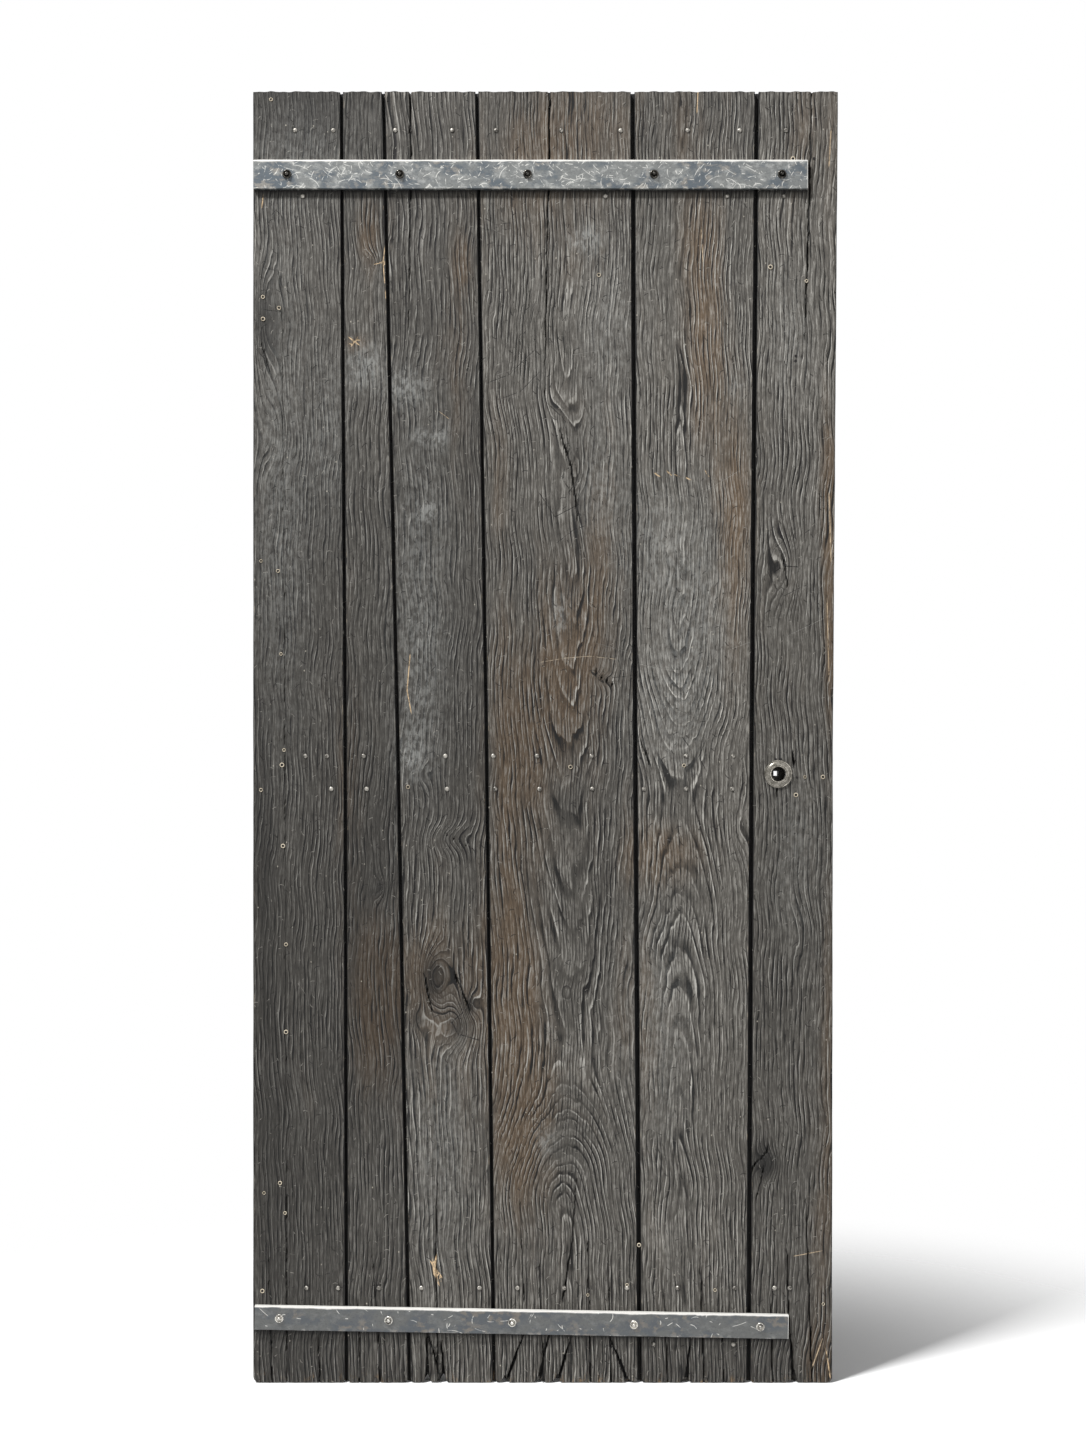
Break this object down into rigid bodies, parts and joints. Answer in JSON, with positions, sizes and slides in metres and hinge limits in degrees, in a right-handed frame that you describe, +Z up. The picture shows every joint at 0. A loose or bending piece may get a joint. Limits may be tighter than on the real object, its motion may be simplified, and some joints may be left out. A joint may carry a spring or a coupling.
{
  "type": "plank door leaf",
  "caption": "Weathered ledged plank door leaf of tapered tongued boards with bolted flat straps, a round spindle rose and a sprung rim latch behind.",
  "frame": {"origin": "middle of the leaf's foot, in the mid plane of the boards", "axes": "+Z up along the boards; the front with the straps and the rose faces -Y; the hinge edge is at -X and the latch edge at +X"},
  "size_m": [0.925, 0.0871, 2.04],
  "materials": {
    "weathered_boards": "weathered, open grained",
    "ledge_wood": "weathered, rough sawn",
    "scratched_strap": "worn and scratched",
    "dark_strap": "dull, dark",
    "bolt_steel": "worn bright",
    "nail_iron": "dull",
    "rose_metal": "dull satin",
    "latch_enamel": "chipped black enamel",
    "latch_steel": "dull",
    "latch_iron": "dark, greasy"
  },
  "bodies": {
    "leaf": {"board_1": "weathered_boards", "board_2": "weathered_boards", "board_3": "weathered_boards", "board_4": "weathered_boards", "board_5": "weathered_boards", "board_6": "weathered_boards", "top_ledge": "ledge_wood", "middle_ledge": "ledge_wood", "bottom_ledge": "ledge_wood", "top_strap": "scratched_strap", "bottom_strap": "dark_strap", "top_strap_bolts": "bolt_steel", "bottom_strap_bolts": "bolt_steel", "strap_washers": "bolt_steel", "strap_nuts": "bolt_steel", "top_ledge_nails": "nail_iron", "middle_ledge_nails": "nail_iron", "bottom_ledge_nails": "nail_iron", "rose": "rose_metal", "latch_case": "latch_enamel", "latch_plate": "latch_steel", "latch_spring": "latch_steel", "latch_screws": "bolt_steel"},
    "latch_bolt": {"latch_bolt": "latch_steel"},
    "latch_hub": {"latch_hub": "latch_iron"}
  },
  "joints": [
    {"name": "latch_slide", "type": "slide", "parent": "leaf", "child": "latch_bolt", "axis": [1, 0, 0], "range_m": [-0.012, 0], "stiffness_N_per_m": 300, "springref_m": 0.01, "deforming": ["latch_spring"]},
    {"name": "hub_turn", "type": "hinge", "parent": "leaf", "child": "latch_hub", "pos_m": [0.3673, 0.026, 0.9616], "axis": [0, 1, 0], "range_deg": [-35.2, 0.2]}
  ],
  "couplings": [
    {"joint": "hub_turn", "follows": "latch_slide", "rad_per_m": 50.905}
  ]
}
